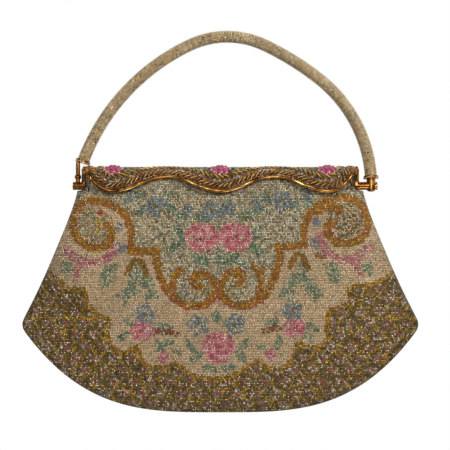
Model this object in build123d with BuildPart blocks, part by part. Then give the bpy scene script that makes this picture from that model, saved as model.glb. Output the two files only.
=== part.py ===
from build123d import *
import math
import os

# A beaded evening purse, lying on its back with its front up.
# X runs across, Y towards the handle, Z up out of the front; lengths are in millimetres.
# The origin is on the table under the middle of the purse's outline.

# Frame: two gilt half-shells, round about one axis across the purse, that meet along the top
shell_radius = 10.4
shell_thickness = 1.0
rim_radius = 11.8
rim_width = 2.0
rim_round = 0.7
strip_thickness = 0.6
rope_height = 1.0
seam_gap = 0.15
front_end = 81.6
cheek_thickness = 1.2
cheek_gap = 0.3

# Wave of the rim, measured along the round of the frame from the level of its axis
wave_pitch = 64.0
wave_low = -3.3
wave_high = 5.7

# Bead ropes and roses on the frame
lower_rope_rise = 3.5
upper_rope_rise = 9.2
strand_pitch = 2.5
strand_length = 3.5
strand_width = 1.5
strand_turn = 48.0
strand_draft = 22.0
rose_radius = 5.6
rose_turn = 60.0
petal_radius_shares = (1.0, 0.72, 0.44)
petal_counts = (7, 5, 4)
petal_height = 0.95
petal_size_share = 0.42
rose_base_share = 0.5

# Hinge arms, pins and handle studs
arm_length = 28.0
arm_half_width = 2.1
ear_radius = 3.2
pin_radius = 1.2
pin_head_radius = 2.1
pin_head_thickness = 0.5
stud_radius = 1.5
stud_head_radius = 2.4
stud_head_thickness = 1.0
running_clearance = 0.05
end_gap = 0.3

# Handle
handle_radius = 3.9
crown_reach = 90.5
crown_x = 4.2
crown_radius = 52.2
crown_half_angle = 25.7
right_bend_x_share = 0.663
right_bend_reach_share = 0.7126
left_foot_inset = 0.8
left_foot_reach = 14.6
right_foot_outset = 7.2
right_foot_reach = 5.2
left_barrel_length = 3.8
right_barrel_length = 9.6
barrel_radius = 2.4
left_neck_radius = 1.3
right_neck_radius = 2.7
neck_ball_radius = 2.0
neck_ball_reach = 5.4
knob_drop = 3.4
knob_round = 1.6
ferrule_wall = 0.45
ferrule_base = 0.9
ferrule_depth = 0.9

# Pouch
pouch_half_width = 120.8
shoulder_clearance = 0.5
shoulder_drop = 3.0
side_drop = 84.0
pouch_drop = 136.5
corner_radius = 7.0
tab_rise = 6.0
tab_gap = 0.4
mouth_half_depth = 7.8
seam_half_depth = 1.4
seam_width = 1.9
panel_thickness = 1.2
base_clearance = 0.7
flare_power = 1.2
hem_power = 3.3
slope_power = 2.2
top_fullness_power = 14.0
low_fullness_power = 2.6
hold_share = 0.33
settle_share = 0.8
lift_share = 0.2
down_shares = (-0.16, 0.0, 0.15, 0.33, 0.5, 0.66, 0.82, 1.05)
across_shares = (1.05, 0.96, 0.84, 0.55, 0.0, -0.55, -0.84, -0.96, -1.05)

# Lining
lining_thickness = 0.6
lining_gap = 0.3
lining_top_drop = 5.0
lining_pin_clearance = 0.55
lining_ear_clearance = 2.3
lining_flare_run = 12.0

# Hidden snap catch at the middle of the frame
tongue_half_width = 5.0
tongue_thickness = 0.8
tongue_height = 6.7
tongue_front = 3.4
catch_hole_radius = 1.2
catch_hole_depth = 1.9
leaf_thickness = 0.35
leaf_gap = 0.15
leaf_half_width = 4.0
catch_clearance = 0.2

# Derived sizes
strip_radius = shell_radius + strip_thickness
frame_radius = strip_radius + rope_height
inner_radius = shell_radius - shell_thickness
back_end = front_end + cheek_gap + cheek_thickness
arm_face = front_end - cheek_thickness
pin_start = arm_face - end_gap / 2
pin_end = back_end + end_gap / 2
left_foot_x = left_foot_inset - back_end
right_foot_x = back_end + right_foot_outset
shoulder_half_width = back_end + shoulder_clearance + seam_width
tab_half_width = arm_face - tab_gap
tab_radius = inner_radius - tab_gap
lining_half_width = pin_start - pin_head_thickness - lining_pin_clearance
lining_flare_drop = arm_length + ear_radius + lining_ear_clearance
axis_z = frame_radius
handle_tilt = math.degrees(math.asin((axis_z - handle_radius) / crown_reach))
handle_top = crown_reach * math.cos(math.radians(handle_tilt)) + handle_radius
axis_y = (pouch_drop - handle_top) / 2
axis_point = (0, axis_y, axis_z)
room = pouch_half_width
across_plane = Plane(origin=axis_point, x_dir=(0, 1, 0), z_dir=(1, 0, 0))
face_plane = Plane(origin=axis_point, x_dir=(1, 0, 0), z_dir=(0, 0, 1))
handle_plane = face_plane.rotated((-handle_tilt, 0, 0))
front_side = 1
back_side = -1


def spread(count, span):
    """Evenly spaced values over a span, ends included."""
    low, high = span
    return [low + (high - low) * i / (count - 1) for i in range(count)]


def rim_line(end):
    """Points of the rim on the unrolled frame, left end to right end, as (across, up the round)."""
    seam_rise = math.pi / 2 * rim_radius
    end_width = end - cheek_thickness - wave_pitch
    wave = []
    for x in spread(33, (-wave_pitch, wave_pitch)):
        swing = (1 - math.cos(2 * math.pi * x / wave_pitch)) / 2
        wave.append((x, wave_low + (wave_high - wave_low) * swing))
    turn = []
    for angle in spread(9, (0, math.pi / 2))[1:]:
        rise = (seam_rise - wave_low) * (1 - math.cos(angle))
        turn.append((wave_pitch + end_width * math.sin(angle), wave_low + rise))
    left_turn = [(-x, rise) for x, rise in reversed(turn)]
    return left_turn + wave + turn


def beside_rim(offset, end):
    """The rim's line moved across itself by an offset, upwards where it runs level."""
    line = rim_line(end)
    moved = []
    for i in range(len(line)):
        before = line[max(i - 1, 0)]
        after = line[min(i + 1, len(line) - 1)]
        run = math.dist(before, after)
        x = line[i][0] - offset * (after[1] - before[1]) / run
        rise = line[i][1] + offset * (after[0] - before[0]) / run
        moved.append((x, rise))
    return moved


def evenly(line, step):
    """Points a step apart along a line, with the line's direction at each."""
    lengths = [math.dist(a, b) for a, b in zip(line, line[1:])]
    count = int(sum(lengths) / step)
    slack = (sum(lengths) - count * step) / 2
    found = []
    for i in range(count + 1):
        left = slack + i * step
        k = 0
        while k < len(lengths) - 1 and left > lengths[k]:
            left -= lengths[k]
            k += 1
        a = line[k]
        b = line[k + 1]
        share = left / lengths[k]
        x = a[0] + (b[0] - a[0]) * share
        rise = a[1] + (b[1] - a[1]) * share
        found.append((x, rise, math.atan2(b[1] - a[1], b[0] - a[0])))
    return found


def seat(x, rise, radius, direction, side):
    """A plane that touches the round of the frame, its x axis along a direction on the unrolled frame."""
    turn = rise / rim_radius
    up = (0, math.cos(turn), -side * math.sin(turn))
    out = (0, math.sin(turn), side * math.cos(turn))
    along = (math.cos(direction), up[1] * math.sin(direction), up[2] * math.sin(direction))
    place = (x, axis_y + radius * out[1], axis_z + radius * out[2])
    return Plane(origin=place, x_dir=along, z_dir=out)


def above_rim(offset, end):
    """Outline, in a face-on view, of the frame above the rim's line moved up by an offset."""
    top = math.pi / 2
    line = [(x, rim_radius * math.sin(min(rise / rim_radius, top))) for x, rise in beside_rim(offset, end)]
    high = 2 * rim_radius
    with BuildSketch(face_plane, mode=Mode.PRIVATE) as outline:
        with BuildLine():
            Spline(*line)
            Polyline(line[-1], (line[-1][0], high), (line[0][0], high), line[0])
        make_face()
    return outline.sketch


def half_ring(outer, inner, end, side):
    """Half a tube about the frame's axis, on the front or the back side of the seam."""
    with BuildPart() as ring:
        with BuildSketch(across_plane):
            Circle(outer)
            Circle(inner, mode=Mode.SUBTRACT)
            with Locations((0, side * (seam_gap + room / 2))):
                Rectangle(room, room, mode=Mode.INTERSECT)
        extrude(amount=end, both=True)
    return ring.part


def frame_half(side, end):
    """One gilt half of the frame: shell, rim moulding, end cheeks and the arms down to the hinge."""
    with BuildPart() as rim:
        add(half_ring(rim_radius, inner_radius, end, side))
        with BuildSketch():
            add(above_rim(-rim_width / 2, end))
        extrude(amount=room, both=True, mode=Mode.INTERSECT)
        with BuildSketch():
            add(above_rim(rim_width / 2, end))
        extrude(amount=room, both=True, mode=Mode.SUBTRACT)
        crests = rim.edges().sort_by(SortBy.LENGTH)[-2:]
        fillet(crests, radius=rim_round)
    with BuildPart() as half:
        add(half_ring(shell_radius, inner_radius, end, side))
        with BuildSketch():
            add(above_rim(0, end))
        extrude(amount=room, both=True, mode=Mode.INTERSECT)
        add(rim.part)
        for hand in (-1, 1):
            with BuildSketch(across_plane.offset(hand * (end - cheek_thickness))):
                Circle(shell_radius)
                with Locations((room / 2, side * (seam_gap + room / 2))):
                    Rectangle(room, room, mode=Mode.INTERSECT)
                with Locations((-arm_length, 0)):
                    Circle(ear_radius)
                Rectangle(arm_length, 2 * arm_half_width, align=(Align.MAX, Align.CENTER))
                if side == back_side:
                    Circle(ear_radius)
                    Circle(stud_radius + running_clearance, mode=Mode.SUBTRACT)
                else:
                    with Locations((0, side * seam_gap)):
                        Rectangle(ear_radius, arm_half_width, align=(Align.CENTER, Align.MIN))
                with Locations((-arm_length, 0)):
                    Circle(pin_radius + running_clearance, mode=Mode.SUBTRACT)
            extrude(amount=hand * cheek_thickness)
    return half.part


def bead_strip(side, end):
    """The bead-sewn strip that covers the frame between the rim and the seam."""
    with BuildPart() as strip:
        add(half_ring(strip_radius, shell_radius, end, side))
        with BuildSketch():
            add(above_rim(rim_width / 2 + seam_gap, end))
        extrude(amount=room, both=True, mode=Mode.INTERSECT)
    return strip.part


def bead_rope(side, rise, hand, end):
    """A twisted rope of bead strands that runs beside the rim, as slanted strands."""
    with BuildPart() as strand:
        with BuildSketch():
            Rectangle(strand_length, strand_width)
        extrude(amount=rope_height, taper=strand_draft)
    top = math.pi / 2 * rim_radius - strand_length / 2
    line = [point for point in beside_rim(rise, end) if point[1] < top]
    places = []
    for x, up, direction in evenly(line, strand_pitch):
        plane = seat(x, up, strip_radius, direction + hand * math.radians(strand_turn), side)
        places.append(plane.location)
    with BuildPart() as rope:
        with Locations(*places):
            add(strand.part)
    return rope.part


def bead_roses(side):
    """Three looped-bead roses in the dips of the upper rope."""
    with BuildPart() as rose:
        with BuildSketch():
            Circle(rose_radius * rose_base_share)
        extrude(amount=rope_height)
        for i, count in enumerate(petal_counts):
            ring = rose_radius * petal_radius_shares[i]
            petal = ring * petal_size_share
            with BuildSketch(Plane.XY.offset(rope_height + i * petal_height)):
                Circle(ring - petal)
                with PolarLocations(ring - petal, count, start_angle=i * 180 / count):
                    RegularPolygon(petal, 6)
            extrude(amount=petal_height)
    places = []
    for x in (-wave_pitch, 0, wave_pitch):
        rise = math.radians(rose_turn) * rim_radius
        places.append(seat(x, rise, strip_radius, 0, side).location)
    with BuildPart() as roses:
        with Locations(*places):
            add(rose.part)
    return roses.part


def ease(down):
    """Nought where the frame still holds the side seams up, one where they lie on the table."""
    share = min(max((down - hold_share) / (settle_share - hold_share), 0), 1)
    return share * share * (3 - 2 * share)


def plan_point(across, down):
    """Where a point of the pouch is in plan: across from -1 to 1, down from the shoulders 0 to the hem 1."""
    flare = (pouch_half_width - shoulder_half_width) * max(down, 0) ** flare_power
    fall = side_drop + (pouch_drop - side_drop) * (1 - abs(across) ** hem_power)
    return across * (shoulder_half_width + flare), axis_y - shoulder_drop - down * (fall - shoulder_drop)


def fullness(across, down):
    """Share of the pouch's full depth at a point: nought at the side seams, one in the middle."""
    power = top_fullness_power + (low_fullness_power - top_fullness_power) * ease(down)
    return 1 - abs(across) ** power


def front_height(across, down):
    """Height of the front of the pouch above the table."""
    seam = axis_z + (seam_half_depth - axis_z) * ease(down) + seam_half_depth
    hem = 2 * seam_half_depth
    middle = hem + (axis_z + mouth_half_depth - hem) * (1 - max(down, 0) ** slope_power)
    return seam + (middle - seam) * fullness(across, down)


def back_height(across, down):
    """Height of the back of the pouch; below the table where the pouch lies flat on it."""
    seam = (axis_z - seam_half_depth) * (1 - ease(down)) - base_clearance * ease(down)
    share = min(max(down / lift_share, 0), 1)
    sink = share * share * (3 - 2 * share)
    middle = (axis_z - mouth_half_depth) * (1 - sink) - base_clearance * sink
    return seam + (middle - seam) * fullness(across, down)


def seam_height(across, down):
    """Height of the line along which the two panels are sewn together."""
    return axis_z + (seam_half_depth - axis_z) * ease(down)


def soft_face(height, lift):
    """A smooth face over the whole pouch at a height, moved up by a lift."""
    rows = []
    for across in across_shares:
        row = []
        for down in down_shares:
            row.append((*plan_point(across, down), height(across, down) + lift))
        rows.append(row)
    return Face.make_surface_from_array_of_points(rows, min_deg=3)


def pouch_outline(inset, tab):
    """Plan of the pouch drawn in by about an inset, with a straight-sided tab (half width, rise) on top."""
    share = 1 - inset / shoulder_half_width
    sides = [plan_point(share, down) for down in spread(7, (0, share))]
    hem = [plan_point(across, share) for across in spread(13, (share, -share))]
    with BuildSketch(mode=Mode.PRIVATE) as outline:
        with BuildLine():
            right = Spline(*sides)
            Spline(*hem)
            left = Spline(*[(-x, y) for x, y in reversed(sides)])
            Line(left @ 1, right @ 0)
        make_face()
        corners = outline.vertices().sort_by(Axis.X)
        fillet([corners[0], corners[-1]], radius=corner_radius - inset)
        with Locations((0, axis_y - shoulder_drop)):
            Rectangle(2 * tab[0], shoulder_drop + tab[1], align=(Align.CENTER, Align.MIN))
    return outline.sketch


def pocket(outline, inset):
    """The solid inside an outline between the pouch's back and front, both moved in by an inset."""
    with BuildPart() as body:
        with BuildSketch(Plane.XY.offset(inset)):
            add(outline)
        extrude(amount=2 * axis_z)
        split(bisect_by=soft_face(front_height, -inset), keep=Keep.BOTTOM)
        split(bisect_by=soft_face(back_height, inset), keep=Keep.TOP)
    return body.part


def kept_below_frame(pouch):
    """A pouch solid with its part above the shoulders cut to fit inside the frame's shells."""
    with BuildPart() as keep_out:
        with BuildSketch(across_plane):
            with Locations((-shoulder_drop, 0)):
                Rectangle(room, room, align=(Align.MIN, Align.CENTER))
            Circle(tab_radius, mode=Mode.SUBTRACT)
        extrude(amount=room, both=True)
    with BuildPart() as kept:
        add(pouch)
        add(keep_out.part, mode=Mode.SUBTRACT)
    return kept.part


def lining_outline(inset, drop):
    """Plan of the lining drawn in by an inset: straight between the hinge arms, then out to the seams."""
    half = lining_half_width - inset
    top = axis_y - drop
    flare = axis_y - lining_flare_drop - inset
    wide = half + room
    low = flare - lining_flare_run
    with BuildSketch(mode=Mode.PRIVATE) as outline:
        add(pouch_outline(seam_width + lining_gap + inset, (half, tab_rise)))
        with BuildLine():
            right = Polyline((half, top), (half, flare), (wide, low), (wide, low - wide))
            left = Polyline((-half, top), (-half, flare), (-wide, low), (-wide, low - wide))
            Line(right @ 0, left @ 0)
            Line(right @ 1, left @ 1)
        make_face(mode=Mode.INTERSECT)
    return outline.sketch


def handle_line():
    """Centre line of the handle: left arc, crown and two right arcs, all tangent, in its tilted plane."""
    with BuildLine(mode=Mode.PRIVATE) as line:
        middle = (crown_x, crown_reach - crown_radius)
        crown = CenterArc(middle, crown_radius, 90 + crown_half_angle, -2 * crown_half_angle)
        bend_place = (right_foot_x * right_bend_x_share, crown_reach * right_bend_reach_share)
        bend = TangentArc(crown @ 1, bend_place, tangent=crown % 1)
        TangentArc(bend @ 1, (right_foot_x, right_foot_reach), tangent=bend % 1)
        TangentArc(crown @ 0, (left_foot_x, left_foot_reach), tangent=(crown % 0) * -1)
    return line.wire().moved(handle_plane.location)


def neck_post(place, radius, drop, reach):
    """Round post up to the handle's end, from a drop below the stud's axis, with a rounded foot."""
    foot = handle_plane.from_local_coords((place, -drop))
    with BuildPart() as post:
        with BuildSketch(Plane(origin=foot, x_dir=(1, 0, 0), z_dir=handle_plane.y_dir)):
            Circle(radius)
        extrude(amount=drop + reach)
        if drop > 0:
            fillet(post.edges().filter_by(GeomType.CIRCLE).sort_by(Axis.Y)[0], radius=knob_round)
    return post.part


def handle_elbow(hand, barrel_length, foot_plane, foot_reach):
    """Gilt elbow on one end of the handle: barrel on the stud, neck, and ferrule round the handle's end."""
    barrel_start = hand * (back_end + end_gap)
    with BuildPart() as elbow:
        with BuildSketch(foot_plane.offset(-ferrule_base)):
            Circle(handle_radius + running_clearance + ferrule_wall)
        extrude(amount=ferrule_base + ferrule_depth)
        if hand < 0:
            neck_middle = barrel_start + hand * barrel_length / 2
            barrel_end = barrel_start + hand * barrel_length
            add(neck_post(neck_middle, left_neck_radius, 0, foot_reach))
            with Locations(handle_plane.from_local_coords((neck_middle, neck_ball_reach))):
                Sphere(neck_ball_radius)
        else:
            neck_middle = foot_plane.origin.X
            barrel_end = neck_middle
            add(neck_post(neck_middle, right_neck_radius, knob_drop, foot_reach))
        with BuildSketch(across_plane.offset(barrel_start)):
            Circle(barrel_radius)
        extrude(amount=barrel_end - barrel_start)
        with BuildSketch(foot_plane):
            Circle(handle_radius + running_clearance)
        extrude(amount=2 * foot_reach, mode=Mode.SUBTRACT)
        with BuildSketch(across_plane.offset(barrel_start)):
            Circle(stud_radius + running_clearance)
        extrude(amount=hand * barrel_length, mode=Mode.SUBTRACT)
    return elbow.part


def headed_post(plane, hand, run, sizes):
    """A round post along X over a run, with a rounded head on its outer end; sizes are post and head."""
    start, end = run
    radius, head_radius, head_thickness = sizes
    with BuildPart() as post:
        with BuildSketch(plane.offset(hand * start)):
            Circle(radius)
        extrude(amount=hand * (end - start))
        with BuildSketch(plane.offset(hand * end)):
            Circle(head_radius)
        extrude(amount=hand * head_thickness)
        outer = post.edges().filter_by(GeomType.CIRCLE).sort_by(Axis.X)
        fillet(outer[0 if hand < 0 else -1], radius=head_thickness / 2)
    return post.part


pieces = {}

for side, name, end in ((front_side, "front", front_end), (back_side, "back", back_end)):
    pieces[name + "_frame"] = frame_half(side, end)
    pieces[name + "_bead_strip"] = bead_strip(side, end)
    pieces[name + "_lower_rope"] = bead_rope(side, lower_rope_rise, 1, end)
    pieces[name + "_upper_rope"] = bead_rope(side, upper_rope_rise, -1, end)
    pieces[name + "_roses"] = bead_roses(side)

# Pouch: front and back panels sewn together along the side and bottom seam
outer_outline = pouch_outline(0, (tab_half_width, tab_rise))
cavity_outline = pouch_outline(seam_width, (shoulder_half_width - seam_width, tab_rise + panel_thickness))
with BuildPart() as pouch:
    add(kept_below_frame(pocket(outer_outline, 0)))
    add(pocket(cavity_outline, panel_thickness), mode=Mode.SUBTRACT)

with BuildPart() as front_panel:
    add(pouch.part)
    split(bisect_by=soft_face(seam_height, 0), keep=Keep.TOP)
pieces["front_panel"] = front_panel.part

with BuildPart() as back_panel:
    add(pouch.part)
    split(bisect_by=soft_face(seam_height, 0), keep=Keep.BOTTOM)
pieces["back_panel"] = back_panel.part

# Lining: a thin bag inside the panels, open at the top
lining_inset = panel_thickness + lining_gap
with BuildPart() as lining:
    add(pocket(lining_outline(0, lining_top_drop), lining_inset))
    add(pocket(lining_outline(lining_thickness, 0), lining_inset + lining_thickness), mode=Mode.SUBTRACT)
pieces["lining"] = lining.part

# Handle: one bead-wrapped arch with a gilt elbow on each end, each turning on a stud of the back half
handle_path = handle_line()
with BuildPart() as handle:
    with BuildSketch(Plane(handle_path @ 0, z_dir=handle_path % 0)):
        Circle(handle_radius)
    sweep(path=handle_path)
pieces["handle"] = handle.part

ends = sorted(((handle_path @ at).X, handle_path @ at, (handle_path % at) * (1 - 2 * at)) for at in (0, 1))
feet = [Plane(origin=place, x_dir=(0, 0, 1), z_dir=direction) for _, place, direction in ends]
studs = (
    (-1, "left", left_barrel_length, feet[0], left_foot_reach),
    (1, "right", right_barrel_length, feet[1], right_foot_reach),
)
hinge_plane = Plane(origin=(0, axis_y - arm_length, axis_z), x_dir=(0, 1, 0), z_dir=(1, 0, 0))
stud_sizes = (stud_radius, stud_head_radius, stud_head_thickness)
pin_sizes = (pin_radius, pin_head_radius, pin_head_thickness)
for hand, name, barrel_length, foot_plane, foot_reach in studs:
    pieces[name + "_elbow"] = handle_elbow(hand, barrel_length, foot_plane, foot_reach)
    stud_end = back_end + end_gap + barrel_length + end_gap / 2
    stud_run = (back_end - cheek_thickness, stud_end)
    pieces[name + "_stud"] = headed_post(across_plane, hand, stud_run, stud_sizes)
    with BuildPart() as pin:
        add(headed_post(hinge_plane, hand, (pin_start, pin_end), pin_sizes))
        add(headed_post(hinge_plane, -hand, (-pin_end, -pin_start), pin_sizes))
    pieces[name + "_hinge_pin"] = pin.part

# Hidden snap catch: a tongue on the back half, and on the front half a spring leaf whose stud drops into it
tongue_top = tongue_height + tongue_thickness
tongue_back = math.sqrt(inner_radius**2 - tongue_top**2) - running_clearance
tongue_plane = Plane(origin=(0, axis_y + tongue_height, axis_z), x_dir=(-1, 0, 0), z_dir=(0, 1, 0))
with BuildPart() as tongue:
    with BuildSketch(tongue_plane):
        with Locations((0, (tongue_front - tongue_back) / 2)):
            Rectangle(2 * tongue_half_width, tongue_front + tongue_back)
        with Locations((0, catch_hole_depth)):
            Circle(catch_hole_radius, mode=Mode.SUBTRACT)
    extrude(amount=tongue_thickness)
pieces["catch_tongue"] = tongue.part

leaf_top = tongue_top + leaf_gap + leaf_thickness
leaf_front = math.sqrt(inner_radius**2 - leaf_top**2) - running_clearance
leaf_start = catch_hole_depth - catch_hole_radius
with BuildPart() as leaf:
    with BuildSketch(tongue_plane.offset(tongue_thickness + leaf_gap)):
        with Locations((0, (leaf_start + leaf_front) / 2)):
            Rectangle(2 * leaf_half_width, leaf_front - leaf_start)
    extrude(amount=leaf_thickness)
    with BuildSketch(tongue_plane.offset(tongue_thickness + leaf_gap)):
        with Locations((0, catch_hole_depth)):
            Circle(catch_hole_radius - catch_clearance)
    extrude(amount=-(tongue_thickness / 2 + leaf_gap))
pieces["catch_leaf"] = leaf.part

os.makedirs("parts", exist_ok=True)
for name, piece in pieces.items():
    piece.label = name
    export_step(piece, "parts/" + name + ".step")
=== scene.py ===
import math

import bpy
import numpy as np
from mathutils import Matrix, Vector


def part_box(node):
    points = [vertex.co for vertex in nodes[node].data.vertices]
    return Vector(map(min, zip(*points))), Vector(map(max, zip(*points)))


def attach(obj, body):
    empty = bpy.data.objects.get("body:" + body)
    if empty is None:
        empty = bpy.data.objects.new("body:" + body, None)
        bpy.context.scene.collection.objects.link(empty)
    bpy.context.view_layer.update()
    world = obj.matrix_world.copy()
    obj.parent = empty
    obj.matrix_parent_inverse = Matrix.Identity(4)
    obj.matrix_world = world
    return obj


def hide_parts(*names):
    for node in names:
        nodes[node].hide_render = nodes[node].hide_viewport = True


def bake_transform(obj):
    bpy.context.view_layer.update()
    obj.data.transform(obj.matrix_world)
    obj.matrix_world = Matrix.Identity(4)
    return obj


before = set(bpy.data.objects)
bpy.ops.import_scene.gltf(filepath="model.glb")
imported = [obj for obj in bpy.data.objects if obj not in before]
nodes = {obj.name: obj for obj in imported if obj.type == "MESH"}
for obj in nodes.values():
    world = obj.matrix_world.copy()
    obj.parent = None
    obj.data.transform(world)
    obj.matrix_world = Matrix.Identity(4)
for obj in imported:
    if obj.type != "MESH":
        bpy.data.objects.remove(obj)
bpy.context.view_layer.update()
MM = 0.001

# The purse, in millimetres: x runs along the frame's axis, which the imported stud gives, and u rises from it.
stud_low, stud_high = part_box("left_stud")
AXIS_Y = (stud_low.y + stud_high.y) / 2 / MM
AXIS_Z = (stud_low.z + stud_high.z) / 2 / MM

# Pouch: half widths at the corners and shoulders; drops of shoulders, corners and hem; powers of its curves.
HALF_WIDTH, SHOULDER = 120.8, 85.5
SHOULDER_DROP, SIDE_DROP, POUCH_DROP = 3.0, 84.0, 136.5
FLARE, HEM, CORNER = 1.2, 3.3, 7.0
SEAM_HALF, MOUTH_HALF = 1.4, 7.8
FULL_POWER, FLAT_POWER, SLOPE_POWER = 14, 2.6, 2.2
EDGE_MARGIN = 0.45
# Tab of the pouch in the frame: half width, top of its beads, added rise at its ends, shares of its rows.
TAB_HALF, TAB_TOP, TAB_END_RISE = 80.2, 6.0, 2.6
TAB_ROWS = (-0.06, -0.045, -0.03, -0.015, -0.004)
TAB_SIDE = 0.955

# Frame: radii, and the rim's wave and ends on the unrolled tube.
RIM_R, STRIP_R, ROOM_R = 11.8, 11.0, 9.3
SEAM_V = math.pi / 2 * RIM_R
WAVE, WAVE_LOW, WAVE_HEIGHT = 64, -3.3, 9.0
FRONT_END, BACK_END, RIM_INSET = 81.6, 83.1, 1.2
RIM_BOTTOM, LEAST_ROOM, FREE_ROOM = -5.0, 2.0, 99.0
ROSE_X, ROSE_V = (-64, 0, 64), math.radians(60) * RIM_R

# The photo's scale, in millimetres to a pixel, and the pixel of the axis.
PIXEL = 0.6
PX0, PY0 = 220.3, 186.0


def srgb(r, g, b):
    c = np.array([r, g, b], float) / 255
    return np.where(c <= 0.04045, c / 12.92, ((c + 0.055) / 1.055) ** 2.4)


# Meshes

UV_EDGE = 0.01
BEAD_SIDES = 6
BEAD_PROFILE = [(1.0, 0.0), (0.70, 0.82)]  # radius and height of a bead's rings
BEAD_CELL = 0.42  # half size of a bead in its UV cell


def add_object(name, data):
    ob = bpy.data.objects.new(name, data)
    bpy.context.scene.collection.objects.link(ob)
    return ob


def make_object(name, co, tris):
    """A smooth object from points in millimetres and triangles."""
    me = bpy.data.meshes.new(name)
    tris = np.asarray(tris, np.int32)
    me.vertices.add(len(co))
    me.vertices.foreach_set("co", (co * MM).astype(np.float32).ravel())
    me.loops.add(tris.size)
    me.loops.foreach_set("vertex_index", tris.ravel())
    me.polygons.add(len(tris))
    me.polygons.foreach_set("loop_start", np.arange(0, tris.size, 3, dtype=np.int32))
    me.polygons.foreach_set("use_smooth", np.ones(len(tris), bool))
    me.update(calc_edges=True)
    return add_object(name, me)


def add_uv(ob, uv):
    """One UV place for each point, clear of the picture's edge."""
    me = ob.data
    index = np.empty(len(me.loops), np.int32)
    me.loops.foreach_get("vertex_index", index)
    layer = me.uv_layers.new(name="OFBake")
    spot = UV_EDGE + (1 - 2 * UV_EDGE) * uv[index]
    layer.data.foreach_set("uv", spot.astype(np.float32).ravel())


def add_tint(ob, tint, metal):
    """Colour and metal share of each point."""
    rgba = np.ones((len(tint), 4), np.float32)
    rgba[:, :3] = np.clip(tint, 0, 1)
    new = ob.data.attributes.new
    new("tint", "FLOAT_COLOR", "POINT").data.foreach_set("color", rgba.ravel())
    new("metal", "FLOAT", "POINT").data.foreach_set("value", np.clip(metal, 0, 1).astype(np.float32))


def unit(v):
    return v / np.maximum(np.linalg.norm(v, axis=-1, keepdims=True), 1e-9)


def bead_object(name, centre, normal, along, half, tint, metal, rings=2, span=None):
    """Seed beads as low domes: centre, normal and thread direction of each, half = (length, width, height).

    The UV map is the plan within a span of two corners, or else a cell for each bead.
    """
    n = len(centre)
    normal = unit(normal)
    along = unit(along - normal * np.sum(along * normal, 1, keepdims=True))
    across = np.cross(normal, along)
    half = np.broadcast_to(np.asarray(half, float), (n, 3))
    turn = np.arange(BEAD_SIDES) * 2 * math.pi / BEAD_SIDES + math.pi / BEAD_SIDES
    local = [(r * math.cos(t), r * math.sin(t), h) for r, h in BEAD_PROFILE[:rings] for t in turn]
    faces = []
    for k in range(BEAD_SIDES):
        m = (k + 1) % BEAD_SIDES
        if rings == 2:
            faces += [(k, m, BEAD_SIDES + m), (k, BEAD_SIDES + m, BEAD_SIDES + k)]
        else:
            faces.append((k, m, BEAD_SIDES))
    if rings == 2:
        faces += [(BEAD_SIDES, BEAD_SIDES + k, BEAD_SIDES + k + 1) for k in range(1, BEAD_SIDES - 1)]
    else:
        local.append((0.0, 0.0, 1.0))
    local = np.array(local)
    per = len(local)
    co = centre[:, None, :]
    for k, axis in enumerate((along, across, normal)):
        co = co + axis[:, None, :] * (local[None, :, k] * half[:, k:k + 1])[..., None]
    tris = (np.array(faces)[None] + (np.arange(n) * per)[:, None, None]).reshape(-1, 3)
    ob = make_object(name, co.reshape(-1, 3), tris)
    if span is None:
        cells = math.ceil(math.sqrt(n))
        cell = np.stack([np.arange(n) % cells, np.arange(n) // cells], 1)
        spot = (cell[:, None, :] + 0.5 + BEAD_CELL * local[None, :, :2]) / cells
    else:
        low, high = span
        spot = (co[..., :2] - low) / (high - low)
    add_uv(ob, np.clip(spot.reshape(-1, 2), 0, 1))
    add_tint(ob, np.repeat(tint, per, 0), np.repeat(metal, per))
    return ob


def grid_tris(rows, cols, up):
    i = np.arange(rows * cols).reshape(rows, cols)
    a, b, c, d = i[:-1, :-1].ravel(), i[:-1, 1:].ravel(), i[1:, 1:].ravel(), i[1:, :-1].ravel()
    t = np.concatenate([np.stack([a, d, c], 1), np.stack([a, c, b], 1)])
    return t if up else t[:, ::-1]


# Materials

NOISE_ROUGH = 0.55
NOISE_LOW, NOISE_HIGH = 0.3, 0.7  # the part of a noise that is spread over a range


def new_material(name):
    mat = bpy.data.materials.new(name)
    mat.use_nodes = True
    nt = mat.node_tree
    return mat, nt, nt.nodes["Principled BSDF"]


def put(made, **values):
    """Set values of a node, or else of its inputs."""
    for key, value in values.items():
        if hasattr(made, key):
            setattr(made, key, value)
        else:
            made.inputs[key.replace("_", " ")].default_value = value
    return made


def node(nt, kind, **values):
    return put(nt.nodes.new(kind), **values)


def link(source, target):
    source.id_data.links.new(source, target)


def noise(nt, scale, detail=4.0):
    made = node(nt, "ShaderNodeTexNoise", Scale=scale, Detail=detail, Roughness=NOISE_ROUGH)
    link(node(nt, "ShaderNodeTexCoord").outputs["Object"], made.inputs["Vector"])
    return made.outputs["Fac"]


def spread(nt, source, low, high):
    made = node(nt, "ShaderNodeMapRange", From_Min=NOISE_LOW, From_Max=NOISE_HIGH, To_Min=low, To_Max=high)
    link(source, made.inputs["Value"])
    return made.outputs["Result"]


def worn(nt, bsdf, colour, scale, low, high):
    """Base colour, faded in patches."""
    made = node(nt, "ShaderNodeVectorMath", operation="SCALE")
    link(colour, made.inputs[0])
    link(spread(nt, noise(nt, scale), low, high), made.inputs["Scale"])
    link(made.outputs["Vector"], bsdf.inputs["Base Color"])


def bump(nt, bsdf, source, strength, distance):
    made = node(nt, "ShaderNodeBump", Strength=strength, Distance=distance)
    link(source, made.inputs["Height"])
    link(made.outputs["Normal"], bsdf.inputs["Normal"])


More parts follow.
